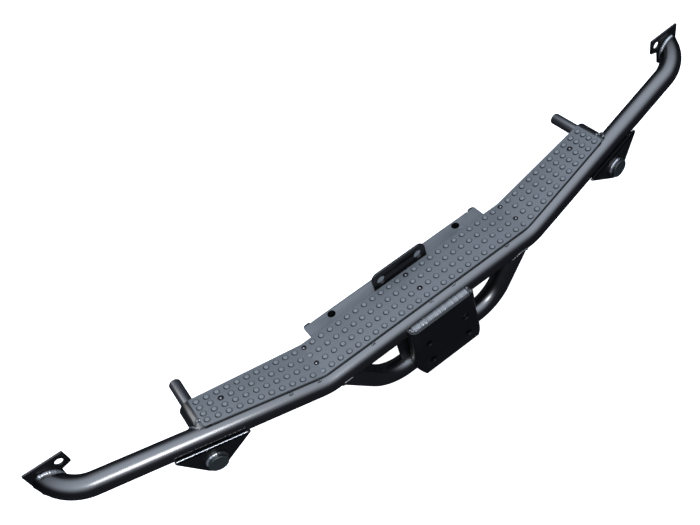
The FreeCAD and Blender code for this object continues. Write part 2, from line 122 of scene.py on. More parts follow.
CAMERA_AT = (-497.23, -974.24, 1439.5)
CAMERA_TURN = (0.877887, 0.35897, 0.002606, -0.316934)
FOCAL_PX = 764.9086
PICTURE_PX = 700.0
FLOOR_Z = -177.0


def metres(points: Sequence) -> np.ndarray:
    """Turns millimetres from the tube axis into metres of the stored frame.

    Args:
        points: One point or an array of points.
    Returns:
        The same points in the stored frame.
    """
    return (np.asarray(points, float) - ORIGIN) / 1000.0


class Slot(Enum):
    """The record's material slots."""

    TUBE = "gloss_black_tube"
    TREAD = "tread_coating"
    PAN = "pan_coating"
    PLATE = "plate_coating"
    SCREW = "screw_steel"
    PIN = "pin_steel"
    CAP = "cap_coating"
    WELD = "weld_coating"


@dataclass(frozen=True)
class Finish:
    """One coating.

    Attributes:
        base: Linear base colour.
        rough: Roughness.
        ior: Index of refraction, which sets how strongly the lacquer mirrors.
        metallic: Metallic share.
        coat: Clear coat weight.
        bump: Depth of the fine grain, in metres.
        grain: Fine grain, in cycles per metre.
        mottle: Share by which the colour drifts over the surface.
        rough_drift: Share by which the roughness drifts.
        edge: Lightening of worn edges.
        painted_light: Strength of the painted shade, and of the painted highlights where the point attribute is below
            0.
    """

    base: Tuple[float, float, float]
    rough: float
    ior: float = 1.5
    metallic: float = 0.0
    coat: float = 0.0
    bump: float = 0.00004
    grain: float = 900.0
    mottle: float = 0.12
    rough_drift: float = 0.15
    edge: float = 0.0
    painted_light: float = 0.0


# The strength given last to a coating scales the painted shade and painted highlights that its pieces carry in their
# shading point attribute.
FINISHES: Dict[Slot, Finish] = {
    Slot.TUBE: Finish((0.0035, 0.0035, 0.0045), 0.24, ior=2.1, bump=0.000012, grain=260.0, mottle=0.2, painted_light=0.85),
    Slot.TREAD: Finish((0.090, 0.099, 0.108), 0.48, ior=1.6, bump=0.00005, grain=1100.0, edge=0.25, painted_light=0.85),
    Slot.PAN: Finish((0.098, 0.107, 0.116), 0.56, ior=1.5, bump=0.00005, grain=1100.0, edge=0.2),
    Slot.PLATE: Finish((0.0028, 0.0031, 0.0038), 0.38, ior=1.5, bump=0.00004, grain=1000.0, edge=0.8, painted_light=0.85),
    Slot.SCREW: Finish((0.15, 0.155, 0.165), 0.28, ior=2.6, bump=0.00002, painted_light=0.99),
    Slot.PIN: Finish((0.014, 0.0155, 0.019), 0.33, ior=2.2, bump=0.00003, grain=700.0),
    Slot.CAP: Finish((0.022, 0.029, 0.031), 0.4, ior=1.7, bump=0.00004),
    Slot.WELD: Finish((0.058, 0.063, 0.07), 0.24, ior=2.1, bump=0.00005, grain=420.0, mottle=0.3, painted_light=1.0),
}


# Name of the point attribute that carries painted light: above 0 it paints shade, below 0 it paints a highlight.
PAINTED_LIGHT_ATTR = "painted_light"


def coating_group() -> bpy.types.NodeTree:
    """The shared group that varies a coating over the surface, and paints shade and highlights into it from a point
    attribute.

    Returns:
        A node group with Colour, Roughness, Painted Reflection and Normal outputs.
    """
    group = bpy.data.node_groups.new("coating", "ShaderNodeTree")
    face = group.interface
    for name, kind in (("Base", "NodeSocketColor"), ("Rough", "NodeSocketFloat"), ("Grain", "NodeSocketFloat"),
                       ("Depth", "NodeSocketFloat"), ("Mottle", "NodeSocketFloat"), ("Drift", "NodeSocketFloat"),
                       ("Edge", "NodeSocketFloat"), ("Painted Light Gain", "NodeSocketFloat")):
        face.new_socket(name, in_out="INPUT", socket_type=kind)
    for name, kind in (("Colour", "NodeSocketColor"), ("Roughness", "NodeSocketFloat"), ("Painted Reflection", "NodeSocketFloat"),
                       ("Normal", "NodeSocketVector")):
        face.new_socket(name, in_out="OUTPUT", socket_type=kind)
    nodes, links = group.nodes, group.links
    ins = nodes.new("NodeGroupInput")
    outs = nodes.new("NodeGroupOutput")
    coord = nodes.new("ShaderNodeTexCoord")

    def noise(scale: float, detail: float) -> bpy.types.Node:
        n = nodes.new("ShaderNodeTexNoise")
        n.inputs["Scale"].default_value = scale
        n.inputs["Detail"].default_value = detail
        links.new(coord.outputs["Object"], n.inputs["Vector"])
        return n

    def math_node(op: str, a, b) -> bpy.types.NodeSocket:
        n = nodes.new("ShaderNodeMath")
        n.operation = op
        for k, v in enumerate((a, b)):
            if isinstance(v, (int, float)):
                n.inputs[k].default_value = v
            else:
                links.new(v, n.inputs[k])
        return n.outputs[0]

    slow = noise(14.0, 3.0)
    mid = noise(95.0, 4.0)
    fine = noise(900.0, 2.0)
    links.new(ins.outputs["Grain"], fine.inputs["Scale"])
    sway = math_node("ADD", math_node("MULTIPLY", slow.outputs["Fac"], 0.7), math_node("MULTIPLY", mid.outputs["Fac"], 0.3))
    swing = math_node("MULTIPLY", math_node("SUBTRACT", sway, 0.5), 4.0)
    gain = math_node("ADD", 1.0, math_node("MULTIPLY", swing, ins.outputs["Mottle"]))
    bevel = nodes.new("ShaderNodeNewGeometry")
    worn = nodes.new("ShaderNodeMapRange")
    worn.inputs["From Min"].default_value = 0.52
    worn.inputs["From Max"].default_value = 0.62
    links.new(bevel.outputs["Pointiness"], worn.inputs["Value"])
    rubbed = math_node("MULTIPLY", math_node("MULTIPLY", worn.outputs["Result"], mid.outputs["Fac"]), ins.outputs["Edge"])
    total = math_node("ADD", gain, math_node("MULTIPLY", rubbed, 2.0))
    # Painted light: the point attribute darkens colour and reflection where it is above 0 (painted shade) and brightens
    # them where it is below 0 (painted highlight).
    pressed = nodes.new("ShaderNodeAttribute")
    pressed.attribute_name = PAINTED_LIGHT_ATTR
    painted_light_level = math_node("SUBTRACT", 1.0, math_node("MULTIPLY", pressed.outputs["Fac"], ins.outputs["Painted Light Gain"]))
    total = math_node("MULTIPLY", total, painted_light_level)
    links.new(painted_light_level, outs.inputs["Painted Reflection"])
    tint = nodes.new("ShaderNodeVectorMath")
    tint.operation = "SCALE"
    links.new(ins.outputs["Base"], tint.inputs[0])
    links.new(total, tint.inputs["Scale"])
    links.new(tint.outputs["Vector"], outs.inputs["Colour"])
    drift = math_node("ADD", 1.0, math_node("MULTIPLY", swing, ins.outputs["Drift"]))
    links.new(math_node("MULTIPLY", ins.outputs["Rough"], drift), outs.inputs["Roughness"])
    bump = nodes.new("ShaderNodeBump")
    links.new(fine.outputs["Fac"], bump.inputs["Height"])
    links.new(ins.outputs["Depth"], bump.inputs["Distance"])
    links.new(bump.outputs["Normal"], outs.inputs["Normal"])
    return group


# Painted shade on the support plate: the depth below its top, and the band along its fold, over which colour and
# reflection turn dark.
UNDERSIDE = (-0.0005, -0.00005)
FOLD_EDGE = (0.0130, 0.0155)


def shade_underside(mat: bpy.types.Material) -> None:
    """Paints shade into the coating below the support plate's top, along its fold and in its holes.

    Args:
        mat: The material, already joined to the coating group.
    """
    tree = mat.node_tree
    bsdf = tree.nodes["Principled BSDF"]
    coord = tree.nodes.new("ShaderNodeTexCoord")
    split = tree.nodes.new("ShaderNodeSeparateXYZ")
    depth = tree.nodes.new("ShaderNodeMapRange")
    depth.inputs["From Min"].default_value = UNDERSIDE[0]
    depth.inputs["From Max"].default_value = UNDERSIDE[1]
    depth.inputs["To Min"].default_value = 0.12
    front = tree.nodes.new("ShaderNodeMapRange")
    front.inputs["From Min"].default_value = FOLD_EDGE[0]
    front.inputs["From Max"].default_value = FOLD_EDGE[1]
    front.inputs["To Min"].default_value = 1.0
    front.inputs["To Max"].default_value = 0.2
    both = tree.nodes.new("ShaderNodeMath")
    both.operation = "MULTIPLY"
    tree.links.new(coord.outputs["Object"], split.inputs[0])
    tree.links.new(split.outputs["Z"], depth.inputs["Value"])
    tree.links.new(split.outputs["Y"], front.inputs["Value"])
    tree.links.new(depth.outputs["Result"], both.inputs[0])
    tree.links.new(front.outputs["Result"], both.inputs[1])
    # The painted shade scales both the base colour and the specular level.
    for name, kind in (("Base Color", "ShaderNodeVectorMath"), ("Specular IOR Level", "ShaderNodeMath")):
        source = bsdf.inputs[name].links[0].from_socket
        times = tree.nodes.new(kind)
        times.operation = "SCALE" if kind == "ShaderNodeVectorMath" else "MULTIPLY"
        tree.links.new(source, times.inputs[0])
        tree.links.new(both.outputs[0], times.inputs["Scale" if times.operation == "SCALE" else 1])
        tree.links.new(times.outputs[0], bsdf.inputs[name])


def make_material(slot: Slot, group: bpy.types.NodeTree) -> bpy.types.Material:
    """The procedural material of one slot.

    Args:
        slot: The record's slot.
        group: The shared coating group.
    Returns:
        The material.
    """
    finish = FINISHES[slot]
    mat = bpy.data.materials.new(slot.value)
    mat.use_nodes = True
    tree = mat.node_tree
    bsdf = tree.nodes["Principled BSDF"]
    coat = tree.nodes.new("ShaderNodeGroup")
    coat.node_tree = group
    coat.inputs["Base"].default_value = (*finish.base, 1.0)
    coat.inputs["Rough"].default_value = finish.rough
    coat.inputs["Grain"].default_value = finish.grain
    coat.inputs["Depth"].default_value = finish.bump
    coat.inputs["Mottle"].default_value = finish.mottle
    coat.inputs["Drift"].default_value = finish.rough_drift
    coat.inputs["Edge"].default_value = finish.edge
    coat.inputs["Painted Light Gain"].default_value = finish.painted_light
    # The painted light also scales the specular level: painted shade dims the reflections and painted highlights
    # brighten them.
    shine = tree.nodes.new("ShaderNodeMath")
    shine.operation = "MULTIPLY"
    shine.inputs[1].default_value = 0.5
    tree.links.new(coat.outputs["Painted Reflection"], shine.inputs[0])
    tree.links.new(shine.outputs[0], bsdf.inputs["Specular IOR Level"])
    tree.links.new(coat.outputs["Colour"], bsdf.inputs["Base Color"])
    tree.links.new(coat.outputs["Roughness"], bsdf.inputs["Roughness"])
    tree.links.new(coat.outputs["Normal"], bsdf.inputs["Normal"])
    bsdf.inputs["Metallic"].default_value = finish.metallic
    bsdf.inputs["IOR"].default_value = finish.ior
    bsdf.inputs["Coat Weight"].default_value = finish.coat
    return mat


@dataclass
class Piece:
    """A mesh in the making, in millimetres from the tube axis.

    Attributes:
        name: Name of the object.
        points: Vertex places.
        faces: Vertex numbers of each face.
    """

    name: str
    points: List[np.ndarray]
    faces: List[Tuple[int, ...]]

    @staticmethod
    def empty(name: str) -> "Piece":
        """A piece with nothing in it yet."""
        return Piece(name, [], [])

    def count(self) -> int:
        """How many vertices it has."""
        return sum(len(p) for p in self.points)

    def rings(self, rings: np.ndarray, closed: bool = False, cap_start: bool = False, cap_end: bool = False) -> None:
        """Adds a surface through rings of equal size.

        Args:
            rings: Array of (stations, round, 3).
            closed: Whether the last ring joins the first.
            cap_start: Whether the first ring is filled.
            cap_end: Whether the last ring is filled.
        """
        m, n = rings.shape[:2]
        base = self.count()
        self.points.append(rings.reshape(-1, 3))
        for i in range(m if closed else m - 1):
            a, b = base + i * n, base + ((i + 1) % m) * n
            for j in range(n):
                k = (j + 1) % n
                self.faces.append((a + j, a + k, b + k, b + j))
        if cap_start:
            self.faces.append(tuple(base + j for j in reversed(range(n))))
        if cap_end:
            self.faces.append(tuple(base + (m - 1) * n + j for j in range(n)))

    def build(self, slot: Slot, mats: Dict[Slot, bpy.types.Material], replaces: Sequence[str] = (),
              sharp: float = 40.0) -> bpy.types.Object:
        """Makes the object, lets it ride on the body and gives it its material.

        Args:
            slot: Material slot.
            mats: The materials.
            replaces: CAD nodes that it stands for.
            sharp: Angle in degrees past which an edge stays sharp.
        Returns:
            The object.
        """
        mesh = bpy.data.meshes.new(self.name)
        mesh.from_pydata(metres(np.concatenate(self.points)).tolist(), [], self.faces)
        mesh.update()
        obj = bpy.data.objects.new(self.name, mesh)
        bpy.context.scene.collection.objects.link(obj)
        mesh.polygons.foreach_set("use_smooth", [True] * len(mesh.polygons))
        mesh.set_sharp_from_angle(angle=math.radians(sharp))
        mesh.materials.append(mats[slot])
        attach(obj, BODY)
        if replaces:
            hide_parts(*replaces)
        log.info("%s: %d points, %d faces", self.name, len(mesh.vertices), len(mesh.polygons))
        return obj


def set_painted_light(obj: bpy.types.Object, depth: np.ndarray) -> None:
    """Writes the painted light of each point of a piece, for the coating group.

    Args:
        obj: The piece.
        depth: One value a point: 1 is full painted shade, 0 plain and less than 0 a painted highlight.
    """
    obj.data.attributes.new(PAINTED_LIGHT_ATTR, "FLOAT", "POINT").data.foreach_set("value", depth.ravel())


def unit(v: np.ndarray) -> np.ndarray:
    """The vector at length one."""
    return v / np.linalg.norm(v)


def route(points: Sequence[Sequence[float]], radii: Sequence[float], step: float) -> np.ndarray:
    """A line with its corners rounded by tangent arcs.

    Args:
        points: Corner points, with the two ends.
        radii: Arc radius at each inner corner.
        step: Spacing of the result on the straights; arcs get one point every 2.5 degrees.
    Returns:
        Array of points.
    """
    pts = [np.asarray(p, float) for p in points]
    out: List[np.ndarray] = []
    cur = pts[0]
    for k in range(1, len(pts) - 1):
        a, b = unit(pts[k - 1] - pts[k]), unit(pts[k + 1] - pts[k])
        half = math.acos(float(a @ b)) / 2.0
        cut = radii[k - 1] / math.tan(half)
        p, q = pts[k] + a * cut, pts[k] + b * cut
        centre = pts[k] + unit(a + b) * (radii[k - 1] / math.sin(half))
        n = max(2, int(np.linalg.norm(p - cur) / step))
        out += [cur + (p - cur) * t for t in np.linspace(0, 1, n, endpoint=False)]
        u, w = unit(p - centre), unit(q - centre)
        turn = math.acos(float(np.clip(u @ w, -1, 1)))
        n = max(4, int(math.degrees(turn) / 2.5))
        for t in np.linspace(0, 1, n, endpoint=False):
            out.append(centre + radii[k - 1] * (math.sin(turn * (1 - t)) * u + math.sin(turn * t) * w) / math.sin(turn))
        cur = q
    n = max(2, int(np.linalg.norm(pts[-1] - cur) / step))
    out += [cur + (pts[-1] - cur) * t for t in np.linspace(0, 1, n)]
    return np.array(out)


def frames(line: np.ndarray, first: np.ndarray) -> Tuple[np.ndarray, np.ndarray, np.ndarray]:
    """Directions that follow a line without twisting.

    Args:
        line: Points of the line.
        first: Side direction wished for at the start.
    Returns:
        Tangents, sides and normals.
    """
    tan = np.gradient(line, axis=0)
    tan /= np.linalg.norm(tan, axis=1)[:, None]
    side = np.zeros_like(line)
    s = np.asarray(first, float)
    for i, t in enumerate(tan):
        s = unit(s - t * (s @ t))
        side[i] = s
    return tan, side, np.cross(tan, side)


def sweep(line: np.ndarray, radius: float, round_: int, first: Sequence[float] = (0, 0, 1)) -> np.ndarray:
    """Rings of a round bar along a line.

    Args:
        line: Points of its axis.
        radius: Its radius.
        round_: Points in each ring.
        first: Side direction at the start.
    Returns:
        Array of (stations, round_, 3).
    """
    _, side, normal = frames(line, np.asarray(first, float))
    a = np.linspace(0, 2 * np.pi, round_, endpoint=False)
    return (line[:, None] + radius * (np.cos(a)[None, :, None] * side[:, None]
                                      + np.sin(a)[None, :, None] * normal[:, None]))


def mirrored(points: np.ndarray) -> np.ndarray:
    """The points on the other side of mid-width."""
    return points * np.array([-1.0, 1.0, 1.0])


def axis_at(x: float) -> np.ndarray:
    """Point of the main tube's axis at width x, away from its bends."""
    out = max(0.0, abs(x) - BEND_X)
    return np.array([x, SWEEP * out, RISE * out])


def tread_z(x: float) -> float:
    """Height of the tread's top at width x."""
    return TREAD_TOP + RISE * max(0.0, abs(x) - KINK_X)


def cut_flush(rings: np.ndarray, depth: float) -> np.ndarray:
    """Ends a bar's rings in a flat cut.

    Args:
        rings: Rings of the bar, running through the cut to beyond it.
        depth: Depth at which it is cut.
    Returns:
        The rings before the cut, one halfway to it and the cut itself.
    """
    whole = int(np.argmax(rings[:, :, 1].max(axis=1) > depth))
    over = rings[:, :, 1] > depth
    over[:whole] = False
    after = np.argmax(over, axis=0)
    n = np.arange(rings.shape[1])
    a, b = rings[after - 1, n], rings[after, n]
    share = (depth - a[:, 1]) / (b[:, 1] - a[:, 1])
    place = after - 1 + share
    half = (whole - 1 + place) / 2.0
    low = half.astype(int)
    part = (half - low)[:, None]
    middle = rings[low, n] * (1 - part) + rings[low + 1, n] * part
    return np.concatenate([rings[:whole], middle[None], (a + (b - a) * share[:, None])[None]])


# Painted shade on the tube next to each end plate, standing in for the dark plate in its gloss: how far from the plate
# it reaches, and the height above which it lies.
END_SHADE_LENGTH = 62.0
END_SHADE_Z = 90.0


def main_tube(mats: Dict[Slot, bpy.types.Material]) -> None:
    """The bent main tube, cut off flush against the end plates, with painted shade on its ends next to the plates."""
    corner = np.array([END_X, SWEEP * (END_X - BEND_X), RISE * (END_X - BEND_X)])
    far = END_TIP + unit(END_TIP - corner) * TUBE_R * 2
    half = route([np.zeros(3), np.array([BEND_X, 0.0, 0.0]), corner, far], [BEND_R, END_BEND_R], 30.0)
    rings = cut_flush(sweep(half, TUBE_R, 64), PLATE_REAR)
    turned = mirrored(rings[1:])[::-1]
    rings = np.concatenate([turned, rings])
    piece = Piece.empty("tube_main")
    piece.rings(rings, cap_start=True, cap_end=True)
    obj = piece.build(Slot.TUBE, mats, ["main_tube"], sharp=60)
    # Painted shade: colour and reflection darken towards each end plate.
    left = PLATE_REAR - rings[:, :, 1]
    painted_light_level = np.where(rings[:, :, 2] > END_SHADE_Z, np.clip(1.0 - left / END_SHADE_LENGTH, 0.0, 1.0), 0.0)
    set_painted_light(obj, painted_light_level)


def hoop(mats: Dict[Slot, bpy.types.Material]) -> None:
    """The hoop under the tube, its ends inside the main tube."""
    half = [np.array([HOOP_CORNER_X, HOOP_Y, HOOP_LOW]), np.array([HOOP_TOP_X, 0.0, 0.0])]
    line = route([mirrored(p) for p in reversed(half)] + half, [HOOP_BEND_R, HOOP_BEND_R], 20.0)
    top = (HOOP_TOP_X - HOOP_CORNER_X) / abs(HOOP_LOW)
    line[0] += np.array([top, 0, -1.0]) * 8.0
    line[-1] += np.array([-top, 0, -1.0]) * 8.0
    piece = Piece.empty("tube_hoop")
    piece.rings(sweep(line, HOOP_R, 56), cap_start=True, cap_end=True)
    piece.build(Slot.TUBE, mats, ["hoop_tube"], sharp=60)


def edge_y(x: float, ends: Tuple[float, float]) -> float:
    """Depth of a tread edge at x, straight across the middle and then swept to its end."""
    return ends[0] + max(0.0, abs(x) - BEND_X) * (ends[1] - ends[0]) / (TREAD_END_X - BEND_X)


def tread(mats: Dict[Slot, bpy.types.Material]) -> None:
    """The folded tread with its raised round buttons, with painted shade round them and painted highlights on their
    tops.
    """
    soft = 0.9
    outer = [TREAD_END_X - TREAD_CORNER + TREAD_CORNER * math.sin(t) for t in np.linspace(0, math.pi / 2, 7)]
    xs = [0.0, 100.0, 200.0, KINK_X - 2, KINK_X, KINK_X + 2, 400.0, 500.0] + outer
    xs = [-x for x in reversed(xs[1:])] + xs
    rings = []
    for x in xs:
        inset = 0.0
        over = abs(x) - (TREAD_END_X - TREAD_CORNER)
        if over > 0:
            inset = TREAD_CORNER - math.sqrt(max(0.0, TREAD_CORNER ** 2 - over ** 2))
        y0, y1, z = edge_y(x, TREAD_REAR) + inset, edge_y(x, TREAD_FRONT) - inset, tread_z(x)
        ring = []
        for cy, cz, a0 in ((y1 - soft, z - soft, 0), (y0 + soft, z - soft, 90),
                           (y0 + soft, z - TREAD_T + soft, 180), (y1 - soft, z - TREAD_T + soft, 270)):
            for a in (0, 30, 60, 90):
                t = math.radians(a0 + a)
                ring.append((x, cy + soft * math.cos(t), cz + soft * math.sin(t)))
        rings.append(ring)
    piece = Piece.empty("tread_sheet")
    piece.rings(np.array(rings), cap_start=True, cap_end=True)
    screws = {(s * c, r) for c, r in SCREW_AT for s in (1, -1)}
    spots = [grid(c, r) for c in range(-COLS, COLS + 1) for r in range(ROWS) if (c, r) not in screws]
    for spot in spots:
        piece.rings(button(spot), cap_end=True)
    obj = piece.build(Slot.TREAD, mats, ["tread_plate"], sharp=50)
    # Painted light on the buttons: a painted shade ring round each foot, a painted shade crescent darkest towards
    # BUTTON_SHADE, and a painted highlight on each top.
    painted_light_level = np.zeros(len(obj.data.vertices))
    first = len(rings) * len(rings[0])
    turn = np.cos(np.linspace(0, 2 * np.pi, BUTTON_ROUND, endpoint=False) - BUTTON_SHADE)
    one = np.zeros((len(BUTTON), BUTTON_ROUND))
    one[:BUTTON_SKIRT] = 0.75 + 0.25 * turn
    one[BUTTON_SKIRT:BUTTON_SKIRT + 3] = 0.4 + 0.5 * turn
    one[BUTTON_SKIRT + 4:] = -0.45
    painted_light_level[first:] = np.tile(one.ravel(), len(spots))
    set_painted_light(obj, painted_light_level)
    log.info("buttons: %d", len(spots))


def grid(col: int, row: int) -> np.ndarray:
    """Place of a button or screw on the tread's top.

    Args:
        col: Column from mid-width, negative to the left.
        row: Row from the rear.
    Returns:
        The point.
    """
    side, far = (1 if col >= 0 else -1), abs(col)
    if far <= FOLD_COL:
        return np.array([side * PITCH * far, ROW_0 + ROW_STEP * row, TREAD_TOP])
    t = (far - FOLD_COL) / (COLS - FOLD_COL)
    y0 = ROW_0 + FOLD_SHIFT + ROW_STEP * row
    y1 = END_ROW_0 + END_ROW_STEP * row
    x = KINK_X + OUTER_PITCH * (far - FOLD_COL)
    return np.array([side * x, y0 + (y1 - y0) * t, tread_z(x)])


def tilt(x: float) -> Tuple[np.ndarray, np.ndarray, np.ndarray]:
    """Directions along the tread, forward, and square to the tread at width x."""
    if abs(x) <= KINK_X + 1.0:
        return np.array([1.0, 0, 0]), np.array([0, 1.0, 0]), np.array([0, 0, 1.0])
    s = math.copysign(1.0, x)
    along = np.array([math.cos(SLOPE), 0, s * math.sin(SLOPE)])
    up = np.array([-s * math.sin(SLOPE), 0, math.cos(SLOPE)])
    return along, np.array([0, 1.0, 0]), up


BUTTON = ((7.8, 0.0), (7.7, 0.04), (7.3, 0.06), (6.9, 0.09), (6.6, 0.4), (6.25, 0.98), (5.8, 1.45), (5.1, 1.82),
          (4.0, 2.06), (2.6, 2.18), (1.0, 2.22))
BUTTON_SKIRT = 4
# Direction round each button towards which its painted shade crescent is darkest.
BUTTON_SHADE = math.radians(200)
BUTTON_ROUND = 24


def revolve(at: np.ndarray, along: np.ndarray, forward: np.ndarray, up: np.ndarray,
            profile: Sequence[Tuple[float, float]], round_: int) -> np.ndarray:
    """Rings of a turned shape.

    Args:
        at: Its foot.
        along: First direction of its plane.
        forward: Second direction of its plane.
        up: Its axis.
        profile: Radius and height of each ring.
        round_: Points in each ring.
    Returns:
        Array of (rings, round_, 3).
    """
    a = np.linspace(0, 2 * np.pi, round_, endpoint=False)
    disc = np.cos(a)[:, None] * along + np.sin(a)[:, None] * forward
    return np.array([at + r * disc + h * up for r, h in profile])


def button(spot: np.ndarray) -> np.ndarray:
    """Rings of one pressed button."""
    return revolve(spot, *tilt(spot[0]), BUTTON, BUTTON_ROUND)


SCREW_RIM = ((7.4, 0.0), (7.3, 0.1), (6.2, 0.12), (5.9, 0.7), (5.4, 1.15), (4.7, 1.35), (4.0, 1.4))
SCREW_DOME = ((2.7, 0.2), (2.5, 0.8), (1.7, 1.2), (0.5, 1.4))


def screws(mats: Dict[Slot, bpy.types.Material]) -> None:
    """Screws with a six-sided socket and a domed pin in it; painted shade darkens all but the pin, which keeps its
    bright reflection.
    """
    piece = Piece.empty("screw_heads")
    a = np.linspace(0, 2 * np.pi, 24, endpoint=False)
    hexagon = 3.4 * math.cos(math.pi / 6) / np.cos((a + math.pi / 6) % (math.pi / 3) - math.pi / 6)
    count = 0
    for c, r in SCREW_AT:
        for s in ((1, -1) if c else (1,)):
            spot = grid(s * c, r)
            along, forward, up = tilt(spot[0])
            rim = revolve(spot, along, forward, up, SCREW_RIM, 24)
            disc = np.cos(a)[:, None] * along + np.sin(a)[:, None] * forward
            socket = np.array([spot + hexagon[:, None] * disc + h * up for h in (1.3, 0.12)])
            dome = revolve(spot, along, forward, up, SCREW_DOME, 24)
            piece.rings(np.concatenate([rim, socket, dome]), cap_start=True, cap_end=True)
            count += 1
    obj = piece.build(Slot.SCREW, mats, ["tread_screws"], sharp=45)
    # Painted shade on rim and socket, lighter on two rim rings; the pin in the socket is left unshaded as the bright
    # spot.
    screw_painted_shade = np.ones((len(SCREW_RIM) + 2 + len(SCREW_DOME), 24))
    screw_painted_shade[-len(SCREW_DOME):] = 0.0
    screw_painted_shade[2:4] = 0.75
    set_painted_light(obj, np.tile(screw_painted_shade.ravel(), count))


def ripple_bead(piece: Piece, line: np.ndarray, radius: float, pitch: float, seed: int, flat: float = 1.0,
                up: Sequence[float] = (0, 0, 1), depth: float = 0.16, uneven: float = 0.1) -> None:
    """Adds a weld bead: overlapping crescents laid along a line.

    Args:
        piece: The piece that gets it.
        line: Its axis, any spacing.
        radius: Half its width.
        pitch: Distance from one crescent to the next.
        seed: Seed of its unevenness.
        flat: Height as a share of its half-width.
        up: Direction in which it stands proud.
        depth: Depth of the ripples as a share of the radius.
        uneven: Share by which the crescents differ in size.
    """
    rng = np.random.default_rng(seed)
    length = np.concatenate([[0], np.cumsum(np.linalg.norm(np.diff(line, axis=0), axis=1))])
    steps = max(8, int(length[-1] / pitch * 7))
    s = np.linspace(0, length[-1], steps)
    fine = np.stack([np.interp(s, length, line[:, k]) for k in range(3)], 1)
    tan, side, normal = frames(fine, np.cross(np.asarray(up, float), fine[1] - fine[0]))
    a = np.linspace(0, 2 * np.pi, 20, endpoint=False)
    count = int(length[-1] / pitch) + 3
    size = 1.0 + uneven * rng.standard_normal(count)
    lean = 0.35 * pitch * np.cos(a)
    rings = np.zeros((steps, len(a), 3))
    for i in range(steps):
        shift = (s[i] + pitch * 0.35 * np.cos(a) ** 2) / pitch
        k = np.clip(shift.astype(int), 0, count - 1)
        wave = np.abs(np.sin(np.pi * (shift % 1.0))) ** 0.6
        swell = radius * (1 - depth + depth * wave) * size[k]
        taper = min(1.0, math.sqrt(min(s[i], length[-1] - s[i]) / (radius * 0.8) + 0.02))
        rings[i] = (fine[i] + taper * swell[:, None] * (np.cos(a)[:, None] * side[i]
                                                        + flat * np.sin(a)[:, None] * normal[i]))
    piece.rings(rings, cap_start=True, cap_end=True)


def blob(piece: Piece, at: Sequence[float], radius: float, seed: int) -> None:
    """Adds an uneven drop of weld metal."""
    rng = np.random.default_rng(seed)
    profile = [(radius * math.sin(t), radius * math.cos(t)) for t in np.linspace(math.pi - 0.15, 0.15, 9)]
    rings = revolve(np.asarray(at, float), np.array([1.0, 0, 0]), np.array([0, 1.0, 0]), np.array([0, 0, 1.0]), profile, 14)
    centre = np.asarray(at, float)
    away = rings - centre
    lump = 1.0 + 0.18 * np.sin(away @ rng.normal(0, 1.2, 3) + rng.uniform(0, 6)) + 0.05 * rng.standard_normal(rings.shape[:2])
    piece.rings(centre + away * lump[..., None], cap_start=True, cap_end=True)


def bracket_weld(mats: Dict[Slot, bpy.types.Material]) -> None:
    """The broad bead between the tube and the tow bracket."""
    piece = Piece.empty("weld_bracket")
    xs = np.linspace(-BEAD_HALF + 4, BEAD_HALF - 4, 60)
    line = np.stack([xs, np.full_like(xs, -33.5), np.full_like(xs, TOW_TOP + 0.2)], 1)
    ripple_bead(piece, line, 10.2, 4.6, 3, flat=0.62, up=(0, -0.35, 1), depth=0.07, uneven=0.035)
    rng = np.random.default_rng(11)
    for s in (-1, 1):
        for k in range(7):
            at = (s * (BEAD_HALF - 4 - rng.uniform(0, 11)), -36 + rng.uniform(-7, 9), TOW_TOP + rng.uniform(0, 3))
            blob(piece, at, rng.uniform(2.4, 4.2), 20 + k + 50 * (s + 1))
    piece.build(Slot.WELD, mats, ["bracket_bead"], sharp=60)


END_WELD_X = 897.0


def end_welds(mats: Dict[Slot, bpy.types.Material]) -> None:
    """The beads where the tube meets its end plates, brightened by a painted highlight."""
    piece = Piece.empty("weld_ends")
    corner = np.array([END_X, SWEEP * (END_X - BEND_X), RISE * (END_X - BEND_X)])
    run = unit(END_TIP - corner)
    side = unit(np.cross(run, (0, 0, 1)))
    over = np.cross(side, run)
    a = np.linspace(0, 2 * np.pi, 145)
    ring = TUBE_R * (np.cos(a)[:, None] * side + np.sin(a)[:, None] * over)
    ring = END_TIP + ring - run * (ring[:, 1] / run[1])[:, None]
    centre = ring[:-1].mean(0)
    ring = centre + (ring - centre) * (1 + 1.0 / TUBE_R)
    ring[:, 1] = PLATE_REAR - 5.2
    inner = np.nonzero(ring[:-1, 0] < END_WELD_X)[0]
    gap = int(np.nonzero(np.diff(inner) > 1)[0][0]) + 1 if np.any(np.diff(inner) > 1) else 0
    ring = ring[np.roll(inner, -gap)]
    for seed, path in ((5, ring), (6, mirrored(ring))):
        ripple_bead(piece, path, 5.2, 5.0, seed, up=(0, -1, 0), depth=0.12, uneven=0.06)
    obj = piece.build(Slot.WELD, mats, ["end_beads"], sharp=60)
    # Painted highlight: the beads' colour and reflection are brightened.
    set_painted_light(obj, np.full(piece.count(), -1.5))


def gusset_point(x: float, drop: float, back: float) -> np.ndarray:
    """Point of the gusset's plane: width, height against the tube's axis, and depth behind it."""
    cos = 1.0 / math.hypot(1.0, SWEEP)
    u = (x - BEND_X) / cos
    return np.array([BEND_X + u * cos + back * SWEEP * cos, SWEEP * u * cos - back * cos, RISE * (x - BEND_X) + drop])


# Direction round each jacking tube of the arc whose bead carries a painted highlight.
BOSS_HIGHLIGHT_AT = math.radians(125)


